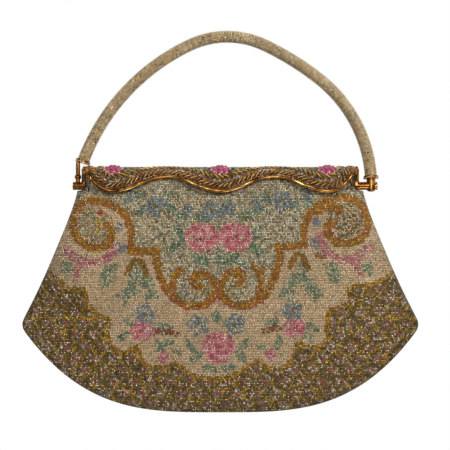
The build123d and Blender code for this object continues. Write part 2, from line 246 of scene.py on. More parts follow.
def bead_material(name, low=0.16, high=0.4, coat=0.3):
    """Glass and metal seed beads: colour from the bead, dulled here and there by age."""
    mat, nt, bsdf = new_material(name)
    tint = node(nt, "ShaderNodeAttribute", attribute_name="tint")
    metal = node(nt, "ShaderNodeAttribute", attribute_name="metal")
    worn(nt, bsdf, tint.outputs["Color"], scale=90.0, low=0.86, high=1.1)
    link(metal.outputs["Fac"], bsdf.inputs["Metallic"])
    link(spread(nt, noise(nt, scale=600.0, detail=2.0), low, high), bsdf.inputs["Roughness"])
    put(bsdf, Coat_Weight=coat, Coat_Roughness=0.12)
    bump(nt, bsdf, noise(nt, scale=2600.0, detail=1.0), strength=0.12, distance=0.0002)
    return mat


def cloth_material(name):
    """Woven ground under the beads: tint of the point, crossed threads."""
    mat, nt, bsdf = new_material(name)
    tint = node(nt, "ShaderNodeAttribute", attribute_name="tint")
    worn(nt, bsdf, tint.outputs["Color"], scale=160.0, low=0.8, high=1.05)
    put(bsdf, Roughness=0.8, Sheen_Weight=0.2)
    bump(nt, bsdf, noise(nt, scale=1500.0, detail=2.0), strength=0.4, distance=0.0003)
    return mat


def metal_material(name, dark, mid, pale, low=0.2, high=0.42):
    """Worn plated metal: tarnish in patches, fine scratches."""
    mat, nt, bsdf = new_material(name)
    ramp = node(nt, "ShaderNodeValToRGB")
    link(noise(nt, scale=110.0, detail=6.0), ramp.inputs["Fac"])
    stops = ramp.color_ramp.elements
    stops[0].position, stops[0].color = 0.34, (*dark, 1)
    stops[1].position, stops[1].color = 0.72, (*pale, 1)
    stops.new(0.5).color = (*mid, 1)
    link(ramp.outputs["Color"], bsdf.inputs["Base Color"])
    put(bsdf, Metallic=1.0)
    link(spread(nt, noise(nt, scale=300.0, detail=5.0), low, high), bsdf.inputs["Roughness"])
    bump(nt, bsdf, noise(nt, scale=900.0), strength=0.1, distance=0.0002)
    return mat


def satin_material(name, colour):
    """Plain silky thread or cloth, faded in patches."""
    mat, nt, bsdf = new_material(name)
    base = node(nt, "ShaderNodeRGB")
    base.outputs[0].default_value = (*colour, 1)
    worn(nt, bsdf, base.outputs[0], scale=70.0, low=0.82, high=1.08)
    link(spread(nt, noise(nt, scale=200.0), low=0.3, high=0.5), bsdf.inputs["Roughness"])
    put(bsdf, Sheen_Weight=0.4)
    bump(nt, bsdf, noise(nt, scale=500.0, detail=3.0), strength=0.2, distance=0.0004)
    return mat


GILT = metal_material("gilt", srgb(98, 58, 22), srgb(160, 104, 44), srgb(222, 172, 102), 0.14, 0.32)
STEEL = metal_material("spring_steel", srgb(120, 122, 124), srgb(165, 167, 170), srgb(200, 202, 205))
BEADS = bead_material("seed_beads")
FIELD = bead_material("field_beads", low=0.22, high=0.5, coat=0.2)
CLOTH = cloth_material("bead_ground")
SATIN = satin_material("lining_satin", srgb(196, 176, 132))
STRIP_CLOTH = satin_material("strip_cloth", srgb(84, 58, 32))
HANDLE_THREAD = satin_material("handle_thread", srgb(104, 88, 60))


def finish_node(name, material):
    """A CAD node that keeps its mesh, with a material and slot."""
    ob = nodes[name]
    ob.data.materials.clear()
    ob.data.materials.append(material)


# The pouch's surfaces

def ease(d, low=0.33, high=0.8):
    t = np.clip((d - low) / (high - low), 0, 1)
    return t * t * (3 - 2 * t)


def half_width(d):
    return SHOULDER + (HALF_WIDTH - SHOULDER) * np.maximum(d, 0) ** FLARE


def plan(a, d):
    """Place of a share across and a share down, as x and rise from the frame's axis."""
    fall = SIDE_DROP + (POUCH_DROP - SIDE_DROP) * (1 - np.abs(a) ** HEM)
    return a * half_width(d), -SHOULDER_DROP - d * (fall - SHOULDER_DROP)


def shares(x, u, passes=60):
    """Inverse of plan, by passes from a first guess."""
    a, d = x / 105.0, np.clip((-SHOULDER_DROP - u) / 120.0, -0.1, 1.2)
    for _ in range(passes):
        a = 0.5 * a + 0.5 * np.clip(x / half_width(d), -1.3, 1.3)
        fall = SIDE_DROP + (POUCH_DROP - SIDE_DROP) * (1 - np.minimum(np.abs(a), 1.1) ** HEM)
        d = 0.5 * d + 0.5 * np.clip((-SHOULDER_DROP - u) / (fall - SHOULDER_DROP), -0.2, 1.4)
    return a, d


def fullness(a, d):
    return 1 - np.minimum(np.abs(a), 1) ** (FULL_POWER + (FLAT_POWER - FULL_POWER) * ease(d))


def seam_height(d):
    return AXIS_Z + (SEAM_HALF - AXIS_Z) * ease(d)


def front_height(a, d):
    seam = seam_height(d) + SEAM_HALF
    slope = 1 - np.clip(d, 0, 1) ** SLOPE_POWER
    middle = 2 * SEAM_HALF + (AXIS_Z + MOUTH_HALF - 2 * SEAM_HALF) * slope
    return seam + (middle - seam) * fullness(a, d)


def back_height(a, d):
    seam = seam_height(d) - SEAM_HALF
    middle = (AXIS_Z - MOUTH_HALF) * (1 - ease(d, 0.0, 0.2))
    return np.maximum(seam + (middle - seam) * fullness(a, d), 0.0)


# Soft folds of the front: x, rise, half width, half length, height and lean.
FOLDS = [
    (-84, -64, 10, 46, 2.6, 0.25), (85.5, -72, 7, 36, 2.8, -0.05), (71, -104, 5, 16, 0.8, 0.2),
    (16, -124, 3.6, 12, 0.35, 0), (30, -122, 3.2, 11, 0.35, 0.1), (46, -118, 3.6, 12, 0.4, 0.15),
    (-20, -124, 4.2, 12, 0.3, 0), (-48, -116, 4, 12, 0.35, -0.15), (3, -14, 5, 12, 0.3, 0),
    (-58, -40, 7, 26, 0.5, 0.1), (40, -26, 7, 18, 0.4, -0.1)]


def ripple(x, u):
    """Soft unevenness of the beaded cloth, fading towards its edges."""
    a, d = shares(x, u)
    calm = np.clip(1 - np.abs(a) ** 8, 0, 1) * np.clip((1 - d) * 6, 0, 1) * np.clip(d * 6, 0, 1)
    wave = 0.16 * (np.sin(x / 13.0 + 0.9 * np.sin(u / 31.0)) + 0.8 * np.sin(u / 17.0 + x / 41.0))
    for fx, fu, wide, long, high, lean in FOLDS:
        wave = wave + high * np.exp(-((x - fx - lean * (u - fu)) / wide) ** 2 - ((u - fu) / long) ** 2)
    return calm * wave


def rim_line(end, count=900):
    """The rim on the unrolled frame, from left to right: x and rise along the tube."""
    x = np.linspace(-WAVE, WAVE, count)
    v = WAVE_LOW + WAVE_HEIGHT * (1 - np.cos(2 * math.pi * x / WAVE)) / 2
    t = np.linspace(0, math.pi / 2, count // 4)[1:]
    ex = WAVE + (end - RIM_INSET - WAVE) * np.sin(t)
    ev = WAVE_LOW + (SEAM_V - WAVE_LOW) * (1 - np.cos(t))
    return np.concatenate([-ex[::-1], x, ex]), np.concatenate([ev[::-1], v, ev])


def rim_rise(x):
    rx, rv = rim_line(FRONT_END)
    return RIM_R * np.sin(np.interp(np.abs(x), rx[rx > 0], rv[rx > 0]) / RIM_R)


def tab_rise(x):
    """How far the tab's ends rise into the frame's corners, clear of the catch in the middle."""
    return TAB_END_RISE * ease(np.abs(x) / TAB_HALF, 0.85, 0.97)


def under_shell(u):
    """Room inside the frame's shell, from its axis; none is lost below the rim."""
    return np.where(u > RIM_BOTTOM, np.sqrt(np.maximum(ROOM_R ** 2 - u ** 2, LEAST_ROOM ** 2)), FREE_ROOM)


# The corner's round: its middle, and the slopes of the normals of side and hem there.
side_run = np.array([(HALF_WIDTH - SHOULDER) * FLARE, SHOULDER_DROP - SIDE_DROP])
hem_run = np.array([HALF_WIDTH, (POUCH_DROP - SIDE_DROP) * HEM])
side_run, hem_run = side_run / np.hypot(*side_run), hem_run / np.hypot(*hem_run)
inward = -(side_run + hem_run)
inward = inward / np.hypot(*inward)
reach = CORNER / math.sqrt(1 - (inward @ -side_run) ** 2)
CORNER_X, CORNER_U = HALF_WIDTH + reach * inward[0], -SIDE_DROP + reach * inward[1]
SIDE_SLOPE, HEM_SLOPE = -side_run[0] / side_run[1], -hem_run[0] / hem_run[1]


def past_corner(x, u, radius):
    """Places beyond the rounded corner, and their distance from its middle."""
    dx, du = np.abs(x) - CORNER_X, u - CORNER_U
    far = np.hypot(dx, du)
    return (dx > 0) & (du < SIDE_SLOPE * dx) & (du > HEM_SLOPE * dx) & (far > radius), dx, du, far


def inside(x, u):
    """Whether a place lies within the pouch's outline, rounded at the corners."""
    a, d = shares(x, u)
    keep = (np.abs(a) < 1 - EDGE_MARGIN / 100) & (d < 1 - EDGE_MARGIN / 110)
    return keep & ~past_corner(x, u, CORNER - EDGE_MARGIN)[0]


# The pattern, in fields of colour. Places and sizes are in the photo's pixels.

COLOURS = {name: srgb(*value) for name, value in {
    "beige": (202, 173, 131), "cream": (184, 163, 124), "silver": (214, 204, 176), "grey": (128, 122, 104),
    "gold": (170, 108, 0), "yellow": (198, 152, 20), "orange": (172, 76, 34), "pink": (212, 116, 126),
    "rose": (176, 66, 84), "blush": (226, 178, 170), "green": (96, 122, 92), "mint": (132, 146, 114),
    "blue": (116, 122, 132), "olive": (92, 70, 10), "brown": (76, 50, 20), "violet": (130, 100, 82),
    "copper": (150, 74, 28), "mauve": (184, 84, 122), "khaki": (168, 142, 96), "dusty": (182, 106, 110),
    "ochre": (134, 100, 14)}.items()}
# Painted highlights: a share of the beads, drawn at random, is mixed towards this warm white.
PAINTED_GLINT, PAINTED_GLINT_SHARE = srgb(240, 228, 198), 0.65
GROUND, FIGURE, BORDER = 0, 1, 2
# A mix lists colours by the share of the beads up to which each goes, and how metallic one is, if at all.
UPPER_MIX = ((0.3, "cream"), (0.52, "khaki"), (0.68, "grey"), (0.8, "silver", 0.3), (0.92, "mint"),
             (0.95, "yellow", 0.2), (1.0, "brown"))
BORDER_MIX = ((0.42, "olive"), (0.6, "brown"), (0.9, "ochre", 0.2), (1.0, "yellow", 0.3))
BOUNDARY_MIX = ((0.35, "yellow", 0.3), (0.55, "gold", 0.25), (1.0, "ochre", 0.2))
PETAL_MIX = ((0.2, "silver", 0.15), (0.75, "violet"))
SPRAY_MIX = ((0.36, "green"), (0.62, "mint"))
LEAF_MIX = ((0.4, "green"), (0.72, "mint"))
FLOWER_MIX = ((0.56, "blue"), (0.76, "mint"), (0.84, "silver", 0.2))
RIBBON_MIX = ((0.6, "dusty"), (0.76, "blush"))
STROKE_MIX = ((0.2, "yellow", 0.3), (0.78, "gold", 0.3), (1.0, "ochre", 0.3))
CHEVRON_MIX = ((0.3, "gold", 0.15), (1.0, "ochre", 0.15))
# Curls of the scrolls: middle, radius and the shares of their colours.
CURL_COLOURS = ("mint", "violet", "olive", "yellow", "khaki")
CURLS = [(95, 227, 20, (0.18, 0.22, 0.3, 0.38, 0.85)), (346, 221, 21, (0.08, 0.34, 0.58, 0.7, 0.85)),
         (203, 288, 11, (0.2, 0.35, 0.4, 0.5, 0.85)), (233, 289, 10, (0.2, 0.35, 0.4, 0.5, 0.85))]

SCROLL_LEFT = [
    (74, 231), (74.6, 218), (81, 205), (91, 201), (101, 202), (113, 205), (123, 212), (129, 220), (132, 232),
    (132, 251)]
BAR_LEFT = [(132, 251), (144, 251), (157, 251)]
SCROLL_LEFT_FALL = [
    (157, 251), (157, 258), (159, 270), (163, 282), (169, 292), (178, 300), (186, 305), (196, 306),
    (206, 303), (214, 295), (215, 287), (211, 278), (202, 274), (194, 277), (194, 283), (200, 286)]
CURL_LEFT = [
    (74, 229), (77, 237), (85, 244), (94, 248), (101, 248), (109, 245), (112, 237), (112, 230), (108, 225)]
HOOK_LEFT = [(172, 292), (173, 280), (181, 269)]
SCROLL_RIGHT = [
    (304, 244), (303, 234), (306, 221), (311, 212), (319, 204), (331, 199), (343, 197), (354, 201),
    (362, 207), (366, 217), (367, 227), (363, 236), (354, 242), (340, 244), (331, 239), (326, 231),
    (327, 225), (333, 223)]
BAR_RIGHT = [(278, 247), (291, 246), (304, 244)]
SCROLL_RIGHT_FALL = [
    (278, 247), (279, 260), (275, 274), (270, 286), (264, 295), (256, 301), (247, 305), (236, 305),
    (225, 300), (221, 291), (223, 281), (228, 274), (236, 272), (243, 275), (239, 283)]
CURL_RIGHT = [(317, 212), (324, 208), (332, 207), (339, 211)]
HOOK_RIGHT = [(259, 294), (261, 282), (260, 273), (254, 267)]
UPPER_EDGE = [(60, 215), (81, 203), (113, 205), (131, 222), (133, 251), (157, 252), (160, 275), (175, 298),
              (196, 306), (218, 300), (240, 306), (262, 298), (276, 274), (279, 248), (304, 246), (305, 222),
              (322, 203), (345, 197), (366, 215), (385, 232)]
BOUNDARY = [
    (40, 268), (50, 274), (61, 282), (68, 288), (84, 290), (86, 297), (90, 307), (101, 317), (108, 319),
    (107, 331), (109, 341), (114, 349), (124, 353), (136, 347), (138, 352), (141, 359), (148, 367),
    (164, 368), (175, 364), (187, 372), (200, 378), (215, 379.5), (231, 376), (244, 370), (256, 362),
    (259, 361), (265, 367), (276, 369), (288, 365), (295, 353), (298, 343), (307, 347), (319, 346),
    (327, 338), (327, 323), (330, 311), (340, 307), (349, 300), (349, 288), (367, 285), (378, 282),
    (389, 275), (402, 268)]
RIBBON_LEFT = [(68, 251), (74, 257), (84, 262), (94, 262), (104, 260), (112, 254), (115, 246)]
RIBBON_RIGHT = [(320, 236), (323, 246), (329, 254), (338, 259), (349, 260), (359, 256), (369, 247)]
TAILS = [[(82, 263), (78, 270), (76, 279)], [(353, 262), (357, 268), (361, 275)]]
# Roses: middle and half sizes. Blue flowers and dots: middle and radius. Leaves: middle, half sizes and turn.
ROSES = [
    (202, 237.5, 17.5, 15), (235, 237, 17.5, 15), (218.5, 347, 17, 17), (142, 331, 12.5, 10),
    (294, 328, 12, 10), (163, 357, 5.5, 6.5), (271, 355, 5.5, 6.5)]
BLUE_FLOWERS = [
    (156, 206, 12), (280, 201, 12), (211, 211, 11), (227, 208, 9), (145, 314, 12), (198, 325, 12),
    (235, 324, 12), (292, 311, 12), (188, 209, 6), (256, 203, 7), (305, 196, 7), (132, 196, 6)]
BLUE_DOTS = [(120, 227, 4.5), (122, 248, 5.5), (316, 222, 5), (314, 243, 5.5)]
LEAVES = [
    (180, 233, 9, 4, 60), (176, 246, 9, 4, -40), (201, 260, 11, 4.5, 20), (219, 257, 7, 4, 90),
    (231, 259, 10, 4.5, -25), (241, 263, 8, 3.5, 30), (257, 233, 9, 4, -60), (256, 250, 9, 4, 40),
    (137, 194, 8, 4, 20), (130, 199, 7, 3.5, -30), (169, 207, 9, 4, 30), (143, 211, 8, 4, -35),
    (181, 216, 8, 4, 20), (266, 199, 8, 4, 35), (256, 210, 9, 4, -20), (293, 205, 8, 4, 25),
    (308, 203, 7, 3.5, -40), (244, 216, 8, 4, 10), (201, 218, 7, 3.5, 30), (170, 194, 7, 3.5, 0),
    (165, 326, 9, 3.5, 15), (160, 347, 8, 4, 70), (124, 336, 8, 4, -30), (130, 323, 7, 3.5, 40),
    (217, 316, 6, 5, 90), (191, 346, 9, 4, 60), (196, 356, 9, 4, -40), (243, 346, 9, 4, -60),
    (240, 356, 8, 4, 40), (211, 369, 9, 3.5, 10), (228, 368, 8, 3.5, -10), (272, 321, 8, 3.5, -15),
    (278, 343, 8, 4, -70), (312, 327, 8, 4, 20), (308, 337, 7, 3.5, 45), (176, 352, 6, 3, 30),
    (169, 343, 6, 3, -30), (262, 348, 6, 3, 30)]
SPRAYS = [
    [(136, 262), (137, 275), (133, 288), (122, 299)], [(139, 276), (148, 284), (152, 297)],
    [(102, 288), (108, 277), (112, 266)], [(304, 260), (303, 274), (309, 287), (318, 297)],
    [(300, 274), (291, 283), (287, 294)], [(335, 284), (333, 272), (330, 262)], [(369, 262), (366, 270)],
    [(64, 262), (69, 270)]]
STEMS = [[(150, 331), (162, 331), (176, 333)], [(286, 328), (276, 328), (264, 331)]]
CHEVRONS = [
    [(128, 273), (131, 266), (136, 260)], [(141, 260), (144, 266), (147, 274)],
    [(289, 267), (292, 261), (296, 255)], [(301, 254), (304, 261), (308, 269)], [(317, 255), (322, 257)]]
# Yellow rows in the border: from, to and height.
BORDER_ROWS = [(26, 101, 318), (361, 416, 318)]
# Orange beside the strokes: from, to, the field where there is more of it, and its shares.
ORANGE_FROM, ORANGE_TO, HOT_TOP, HOT_HALF, HOT_SHARE, ORANGE_SHARE = 1.9, 4.2, 290, 50, 0.85, 0.3
# Heart of the left curl: a bar (x, half width, top and foot) and a dot (middle and radius).
HEART_BAR, HEART_DOT = (99, 1.6, 219, 232), (101, 213, 3.2)
MIDDLE_X, FLOWER_Y, FLOWER_STEP, FLOWER_ROW = 218, 300, 19.0, 0.62
BORDER_TOP, BOUNDARY_TOP = 262, 266
RAGGED, BOUNDARY_HALF, STROKE_HALF, CHEVRON_HALF, RIBBON_HALF, TAIL_HALF = 0.55, 2.5, 3.9, 2.8, 4.4, 3.4


def curve(points):
    """A smooth line through the points, in steps of about a pixel."""
    p = np.array(points, float)
    p = np.concatenate([[2 * p[0] - p[1]], p, [2 * p[-1] - p[-2]]])
    out = []
    for a, b, c, d in zip(p[:-3], p[1:-2], p[2:-1], p[3:]):
        t = np.linspace(0, 1, max(2, int(np.linalg.norm(c - b))), endpoint=False)[:, None]
        out.append(0.5 * (2 * b + (c - a) * t + (2 * a - 5 * b + 4 * c - d) * t ** 2
                          + (3 * b - a - 3 * c + d) * t ** 3))
    return np.concatenate(out + [p[-2:-1]])


def distance(px, py, line, chunk=4000):
    """Distance to the nearest point of a line, and the side of it (positive to the right of travel)."""
    best = np.full(len(px), 1e9)
    side = np.zeros(len(px))
    run = np.gradient(line, axis=0)
    for lo in range(0, len(px), chunk):
        dx = px[lo:lo + chunk, None] - line[None, :, 0]
        dy = py[lo:lo + chunk, None] - line[None, :, 1]
        gap = np.hypot(dx, dy)
        k = gap.argmin(1)
        i = np.arange(len(k))
        best[lo:lo + chunk] = gap[i, k]
        side[lo:lo + chunk] = run[k, 0] * dy[i, k] - run[k, 1] * dx[i, k]
    return best, side


class Canvas:
    """Beads to be coloured: their places, places with ragged edges, and three dice for mixes."""

    def __init__(self, px, py, seed):
        n = len(px)
        self.rng = np.random.default_rng(seed)
        wobble = self.rng.normal(0, RAGGED, (2, n))
        self.px, self.py = px, py
        self.x, self.y = px + wobble[0], py + wobble[1]
        self.dice = [self.rng.random(n) for _ in range(3)]
        self.tint, self.metal, self.kind = np.zeros((n, 3)), np.zeros(n), np.zeros(n, int)

    def paint(self, where, colour, shine=0.0, kind=FIGURE):
        self.tint[where] = COLOURS[colour]
        self.metal[where] = shine
        self.kind[where] = kind

    def scatter(self, where, mix, kind=FIGURE, die=0):
        """Paint a field with a mix; beads above its last share stay as they were."""
        low = 0.0
        for high, colour, *shine in mix:
            self.paint(where & (self.dice[die] >= low) & (self.dice[die] < high), colour, sum(shine), kind)
            low = high

    def polar(self, x, y, wide=1.0, high=1.0):
        dx, dy = (self.x - x) / wide, (self.y - y) / high
        return np.hypot(dx, dy), np.arctan2(dy, dx)

    def near(self, line):
        return distance(self.x, self.y, line)[0]

    def leaf(self, x, y, long, wide, turn):
        ca, sa = math.cos(turn), math.sin(turn)
        dx, dy = self.x - x, self.y - y
        return ((dx * ca + dy * sa) / long) ** 2 + ((dy * ca - dx * sa) / wide) ** 2 < 1


def paint_ground(c):
    """Beige ground, with a brighter mix above the scrolls and in their curls; returns where it is bright."""
    c.paint(np.ones(len(c.px), bool), "beige", 0.0, GROUND)
    edge = np.array(UPPER_EDGE, float)
    bright = c.py < np.interp(c.px, edge[:, 0], edge[:, 1])
    c.scatter(bright, UPPER_MIX, GROUND)
    for cx, cy, radius, stops in CURLS:
        curl = c.polar(cx, cy)[0] < radius
        c.scatter(curl, zip(stops, CURL_COLOURS), GROUND)
        bright |= curl
    return bright


def paint_border(c):
    """Dense border below the scalloped line: rows of flowers, a trellis between them and a gold edge."""
    gap, side = distance(c.x, c.y, curve(BOUNDARY))
    border = (side > 0) & (c.py > BORDER_TOP)
    c.scatter(border, BORDER_MIX, BORDER)
    row = np.round((c.y - FLOWER_Y) / (FLOWER_STEP * FLOWER_ROW))
    shift = 0.5 * (row % 2)
    cx = (np.round((c.x - MIDDLE_X) / FLOWER_STEP - shift) + shift) * FLOWER_STEP + MIDDLE_X
    cy = FLOWER_Y + row * FLOWER_STEP * FLOWER_ROW
    ring = np.hypot(c.x - cx, (c.y - cy) * 1.15)
    petal = ring < 6.8 * (0.8 + 0.2 * np.cos(5 * np.arctan2(c.y - cy, c.x - cx)))
    c.scatter(border & petal, PETAL_MIX, BORDER, die=1)
    c.scatter(border & (ring < 2.6), ((0.7, "copper"),), BORDER, die=2)
    c.scatter(border & (ring < 2.0), ((0.3, "orange"),), BORDER, die=2)
    right, down = (c.x - MIDDLE_X) / FLOWER_STEP, (c.y - FLOWER_Y) / (FLOWER_STEP * 2 * FLOWER_ROW)
    trellis = np.abs((right + down + 0.25) % 1 - 0.5) < 0.07
    trellis |= np.abs((right - down + 0.25) % 1 - 0.5) < 0.07
    c.scatter(border & trellis & ~petal, ((0.75, "yellow", 0.6),), BORDER, die=2)
    for left, end, y in BORDER_ROWS:
        line = border & (c.px > left) & (c.px < end) & (np.abs(c.y - y) < 1.1)
        c.scatter(line, ((0.85, "yellow", 0.7),), BORDER, die=2)
    c.scatter((gap < BOUNDARY_HALF) & (c.py > BOUNDARY_TOP), BOUNDARY_MIX, BORDER)


def paint_leaves(c):
    """Sprays with leaves in pairs, single leaves and two stems."""
    for stem in SPRAYS:
        line = curve(stem)
        c.paint(c.near(line) < 1.0, "green")
        for k in range(2, len(line) - 1, 5):
            run = line[k + 1] - line[k - 1]
            base = math.atan2(run[1], run[0])
            for turn in (base + 0.9, base - 0.9):
                x, y = line[k, 0] + 4.5 * math.cos(turn), line[k, 1] + 4.5 * math.sin(turn)
                c.scatter(c.leaf(x, y, 4.8, 2.1, turn), SPRAY_MIX)
    for x, y, long, wide, turn in LEAVES:
        c.scatter(c.leaf(x, y, long, wide, math.radians(turn)), LEAF_MIX)
    for stem in STEMS:
        near = c.near(curve(stem))
        c.scatter(near < 1.9, ((0.85, "copper"),))
        c.scatter((near > 1.9) & (near < 3.2), ((0.6, "brown"),))


def paint_flowers(c):
    """Blue flowers and dots, pink roses with folded petals, ribbons."""
    for x, y, radius in BLUE_FLOWERS:
        ring, angle = c.polar(x, y)
        c.scatter(ring < radius * (0.86 + 0.14 * np.cos(5 * angle + x)), FLOWER_MIX)
        c.paint(ring < 0.17 * radius, "ochre", 0.2)
    for x, y, radius in BLUE_DOTS:
        c.scatter(c.polar(x, y)[0] < radius, ((0.7, "blue"),))
    for x, y, wide, high in ROSES:
        ring, angle = c.polar(x, y, wide, high)
        bloom = ring < 0.97 + 0.04 * np.cos(6 * angle)
        fold = np.cos(3 * angle + 9 * ring) + 0.9 * (c.dice[1] - 0.5)
        c.paint(bloom, "pink")
        c.scatter(bloom & (fold > 0.5), ((0.5, "rose"),))
        c.scatter(bloom & (fold < -0.3), ((0.4, "blush"),))
        c.paint(bloom & (ring < 0.2), "rose")
        c.scatter(bloom, ((0.18, "cream"),), die=2)
    for points in (RIBBON_LEFT, RIBBON_RIGHT):
        c.scatter(c.near(curve(points)) < RIBBON_HALF, RIBBON_MIX)
    for points in TAILS:
        c.scatter(c.near(curve(points)) < TAIL_HALF, ((0.66, "dusty"),))


def paint_scrolls(c):
    """Gold scrolls with an orange-red edge on one side, chevrons, and the left curl's heart."""
    left = np.concatenate([curve(SCROLL_LEFT), curve(BAR_LEFT), curve(SCROLL_LEFT_FALL)])
    right = np.concatenate([curve(SCROLL_RIGHT_FALL)[::-1], curve(BAR_RIGHT), curve(SCROLL_RIGHT)])
    hot = (c.y > HOT_TOP) & (np.abs(c.x - MIDDLE_X) < HOT_HALF)
    share = np.where(hot, HOT_SHARE, ORANGE_SHARE)
    for line, sign in ((left, 1), (right, 1), (curve(CURL_LEFT), -1), (curve(HOOK_LEFT), 1),
                       (curve(HOOK_RIGHT), -1), (curve(CURL_RIGHT), 1)):
        near, side = distance(c.x, c.y, line)
        c.scatter(near < STROKE_HALF, STROKE_MIX)
        edge = (near > ORANGE_FROM) & (near < ORANGE_TO) & (side * sign > 0)
        c.paint(edge & (c.dice[0] < share), "orange")
    for points in CHEVRONS:
        c.scatter(c.near(curve(points)) < CHEVRON_HALF, CHEVRON_MIX)
    x, half, top, foot = HEART_BAR
    c.paint((np.abs(c.x - x) < half) & (c.y > top) & (c.y < foot), "yellow", 0.5)
    x, y, radius = HEART_DOT
    c.paint(c.polar(x, y)[0] < radius, "orange")


def pattern(px, py, seed):
    """Colour, metal share and kind (ground, figure or border) of each bead."""
    c = Canvas(px, py, seed)
    bright = paint_ground(c)
    paint_border(c)
    paint_leaves(c)
    paint_flowers(c)
    paint_scrolls(c)

    def by_kind(bright_ground, ground, figure, border):
        return np.where(c.kind == GROUND, np.where(bright, bright_ground, ground),
                        np.where(c.kind == BORDER, border, figure))

    n = len(px)
    shade = np.clip(1 + by_kind(0.36, 0.24, 0.28, 0.36) * c.rng.normal(size=n), 0.35, 1.9)
    # Painted highlights: a random share of the beads of each kind turns towards warm white.
    painted_glint = c.rng.random(n) < by_kind(0.16, 0.06, 0.045, 0.065)
    tint = c.tint * shade[:, None]
    tint[painted_glint] = (1 - PAINTED_GLINT_SHARE) * tint[painted_glint] + PAINTED_GLINT_SHARE * PAINTED_GLINT
    return np.clip(tint, 0, 1), c.metal, c.kind


# The panels and the lining

SHEET_TOP = 8.0  # rise at which the panels' UV maps end
SEAM_LIP, BEAD_LIFT, CLOTH_LIFT = 0.08, 0.55, 0.65  # the lip of a sheet's edge; room kept under the shell
# Flat sizes of cloth are in metres.
LINING_FLAT, LINING_INSET, LINING_DROP, LINING_DEPTH = (0.222, 0.13), 0.93, 0.012, 0.74


def panel_beads(pitch, seed, height, front):
    """Places and normals of the beads on one side of the pouch."""
    r = np.random.default_rng(seed)
    rows = np.arange(9.0, -POUCH_DROP, -pitch)
    cols = np.arange(-HALF_WIDTH, HALF_WIDTH + pitch, pitch)
    x, u = np.meshgrid(cols, rows)
    x = x + (r.random(len(rows)) * pitch)[:, None] + r.normal(0, 0.05, x.shape)
    u = u + 0.25 * np.sin(x / 33.0 + 1.3) + r.normal(0, 0.035, x.shape)
    x, u = x.ravel(), u.ravel()
    top = np.where(np.abs(x) < TAB_HALF, TAB_TOP + tab_rise(x), -SHOULDER_DROP - 0.4)
    keep = (u < rim_rise(x) + 0.9) & (u < top)
    low = u < -SHOULDER_DROP
    keep &= np.where(low, inside(x, np.minimum(u, -SHOULDER_DROP)), np.abs(x) < TAB_HALF - 0.2)
    x, u = x[keep], u[keep]

    def level(x, u):
        a, d = shares(x, np.minimum(u, -SHOULDER_DROP))
        z = height(np.where(u > -SHOULDER_DROP, np.clip(a, -TAB_SIDE, TAB_SIDE), a), d)
        if front:
            return np.minimum(z, AXIS_Z + under_shell(u) - BEAD_LIFT) + ripple(x, u)
        return np.maximum(z, AXIS_Z - under_shell(u) + BEAD_LIFT)

    z = level(x, u)
    e = 0.4  # step of the slopes
    slope_x = (level(x + e, u) - level(x - e, u)) / (2 * e)
    slope_u = (level(x, u + e) - level(x, u - e)) / (2 * e)
    normal = unit(np.stack([-slope_x, -slope_u, np.ones_like(x)], 1))
    return x, u, z, normal if front else -normal


def ringed(v, edge):
    """A grid of values with one more row or column at its sides and foot."""
    v = np.concatenate([edge[:, :1], v, edge[:, -1:]], 1)
    last = np.concatenate([edge[-1:, :1], edge[-1:], edge[-1:, -1:]], 1)
    return np.concatenate([v, last], 0)


def soft_sheet(name, height, front, across=141, down=91, inset=1.0, drop=0.0):
    """A cloth surface of the pouch; one that isn't inset has a tab and is turned in to the seam."""
    panel = inset == 1.0
    above = np.array(TAB_ROWS) if panel else np.zeros(0)
    aa, dd = np.meshgrid(np.linspace(-inset, inset, across),
                         np.concatenate([above, np.linspace(drop, inset, down)]))
    x, u = plan(aa, dd)
    top = dd < 0
    x = np.where(top, aa * TAB_HALF, x)
    tab = -SHOULDER_DROP - dd * (POUCH_DROP - SHOULDER_DROP) + tab_rise(x) * dd / TAB_ROWS[0]
    u = np.where(top, tab, u)
    z = height(np.where(top, np.clip(aa, -TAB_SIDE, TAB_SIDE), aa), np.maximum(dd, 0))
    room = under_shell(u) - CLOTH_LIFT
    z = np.minimum(z, AXIS_Z + room) if front else np.maximum(z, AXIS_Z - room)
    if front and panel:
        z = z + ripple(x.ravel(), u.ravel()).reshape(x.shape)
    radius = CORNER - 0.1
    out, dx, du, far = past_corner(x, u, radius)
    scale = np.where(out, radius / np.maximum(far, 1e-6), 1.0)
    x = np.where(out, np.sign(x) * (CORNER_X + dx * scale), x)
    u = np.where(out, CORNER_U + du * scale, u)
    if panel:
        seam = seam_height(np.maximum(dd, 0)) + (SEAM_LIP if front else -SEAM_LIP)
        x, u, z = ringed(x, x), ringed(u, u), ringed(z, seam)
    co = np.stack([x.ravel(), AXIS_Y + u.ravel(), z.ravel()], 1)
    return make_object(name, co, grid_tris(*x.shape, up=front)), x.ravel(), u.ravel()


def flat_uv(ob, x, u):
    right, up = (x + HALF_WIDTH) / (2 * HALF_WIDTH), (u + POUCH_DROP) / (POUCH_DROP + SHEET_TOP)
    add_uv(ob, np.stack([right, up], 1).clip(0, 1))


def hang(ob, front):
    """The front's place is baked into its mesh; the back is attached to the back body."""
    if front:
        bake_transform(ob)
    else:
        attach(ob, "back")


